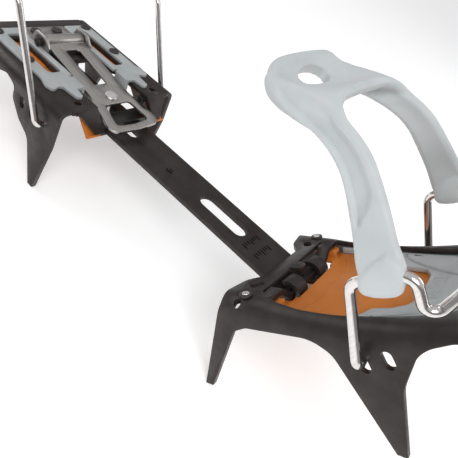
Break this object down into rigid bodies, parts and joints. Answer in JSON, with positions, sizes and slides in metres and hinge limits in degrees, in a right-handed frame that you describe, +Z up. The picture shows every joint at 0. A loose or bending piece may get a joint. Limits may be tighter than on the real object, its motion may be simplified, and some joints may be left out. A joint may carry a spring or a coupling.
{
  "type": "crampon",
  "caption": "Stamped steel crampon: spiked heel and front sections on a hooked linking bar, with wire bails, moulded harnesses and antiballing plates.",
  "frame": {"origin": "on the floor under the middle of the bounding box", "axes": "+Z up, +Y towards the toe, +X to the wearer's right"},
  "size_m": [0.1028, 0.3676, 0.1784],
  "materials": {
    "dark_steel": "dark satin coating",
    "orange_plastic": "moulded, satin",
    "grey_plastic": "moulded, satin",
    "black_plastic": "moulded",
    "rivet_steel": "bright",
    "lever_steel": "brushed along its length",
    "wire_steel": "polished stainless wire",
    "harness_tpu": "light grey, smooth flexible moulding"
  },
  "bodies": {
    "heel": {"heel_frame": "dark_steel", "heel_antiball_tray": "orange_plastic", "heel_antiball_frame": "grey_plastic", "heel_rivets": "rivet_steel", "bracket_rivets": "rivet_steel", "bar_guide_front": "black_plastic", "bar_guide_rear": "black_plastic", "lever_bracket": "lever_steel", "lever_pivot_pin": "rivet_steel"},
    "bar": {"linking_bar": "dark_steel"},
    "front": {"front_frame": "dark_steel", "front_antiball_tray": "orange_plastic", "front_antiball_frame": "grey_plastic", "front_rear_rivets": "rivet_steel"},
    "front_bail": {"front_bail_wire": "wire_steel", "front_harness": "harness_tpu"},
    "rear_bail": {"rear_bail_wire": "wire_steel", "rear_harness": "harness_tpu"},
    "lever": {"adjustment_lever": "lever_steel", "locking_pin": "rivet_steel"}
  },
  "joints": [
    {"name": "length_adjust", "type": "slide", "parent": "heel", "child": "bar", "axis": [0, 0.9981, 0.0621], "range_m": [-0.02, 0.02]},
    {"name": "bar_hook_hinge", "type": "hinge", "parent": "bar", "child": "front", "pos_m": [0, 0.06885, 0.05568], "axis": [1, 0, 0], "range_deg": [-38.5, 0]},
    {"name": "front_bail_pivot", "type": "hinge", "parent": "front", "child": "front_bail", "pos_m": [0, 0.10642, 0.08343], "axis": [1, 0, 0], "range_deg": [0, 45]},
    {"name": "rear_bail_pivot", "type": "hinge", "parent": "heel", "child": "rear_bail", "pos_m": [0, -0.08147, 0.04162], "axis": [1, 0, 0], "range_deg": [-30, 0]},
    {"name": "lever_pivot", "type": "hinge", "parent": "heel", "child": "lever", "pos_m": [0, -0.12871, 0.05692], "axis": [1, 0, 0], "range_deg": [0, 14], "stiffness_Nm_per_rad": 0.6}
  ]
}
